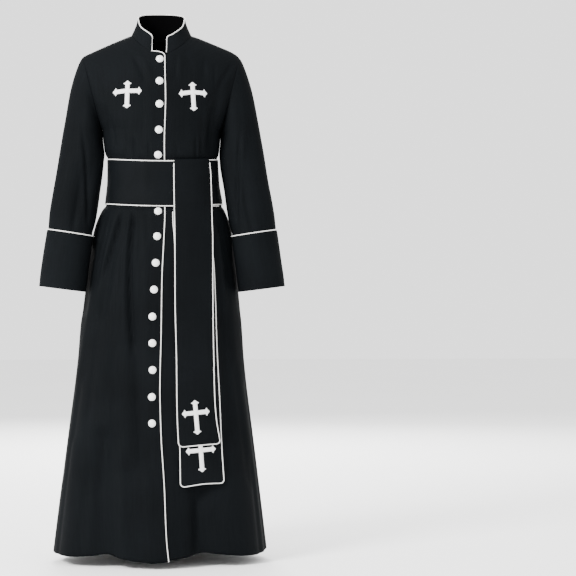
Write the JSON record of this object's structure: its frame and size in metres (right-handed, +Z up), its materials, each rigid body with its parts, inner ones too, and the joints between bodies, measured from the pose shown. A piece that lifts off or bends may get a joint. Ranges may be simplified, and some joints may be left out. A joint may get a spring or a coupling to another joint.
{
  "type": "clergy robe",
  "caption": "Full-length black clergy robe with stand collar, button front, white piping, cuffs, belt with two hanging ends and crosses.",
  "frame": {"origin": "midway between the two neck points, level with them, where the shoulders carry the robe", "axes": "+Z up, the robe faces -Y, its right side is at -X"},
  "size_m": [0.6465, 0.4002, 1.4388],
  "materials": {
    "cloth": "matte black twill",
    "belt_cloth": "black satin weave",
    "piping": "white satin cord",
    "button": "glossy white",
    "embroidery": "white satin stitch"
  },
  "bodies": {
    "root": {"bodice_front_right": "cloth", "skirt_front_right": "cloth", "bodice_front_left": "cloth", "skirt_front_left": "cloth", "bodice_back_right": "cloth", "skirt_back_right": "cloth", "bodice_back_left": "cloth", "skirt_back_left": "cloth", "sleeve_right": "cloth", "sleeve_left": "cloth", "cuff_right": "cloth", "cuff_left": "cloth", "collar": "cloth", "belt": "belt_cloth", "fall_front": "belt_cloth", "fall_back": "belt_cloth", "piping_collar": "piping", "piping_front": "piping", "piping_belt_top": "piping", "piping_belt_bottom": "piping", "piping_fall_front": "piping", "piping_fall_back": "piping", "piping_cuff_right": "piping", "piping_cuff_left": "piping", "button_front_01": "button", "button_front_02": "button", "button_front_03": "button", "button_front_04": "button", "button_front_05": "button", "button_front_06": "button", "button_front_07": "button", "button_front_08": "button", "button_front_09": "button", "button_front_10": "button", "button_front_11": "button", "button_front_12": "button", "button_front_13": "button", "button_front_14": "button", "button_cuff_right_1": "button", "button_cuff_right_2": "button", "button_cuff_right_3": "button", "button_cuff_left_1": "button", "button_cuff_left_2": "button", "button_cuff_left_3": "button", "cross_chest_right": "embroidery", "cross_chest_left": "embroidery", "cross_fall_front": "embroidery", "cross_fall_back": "embroidery"}
  },
  "joints": []
}
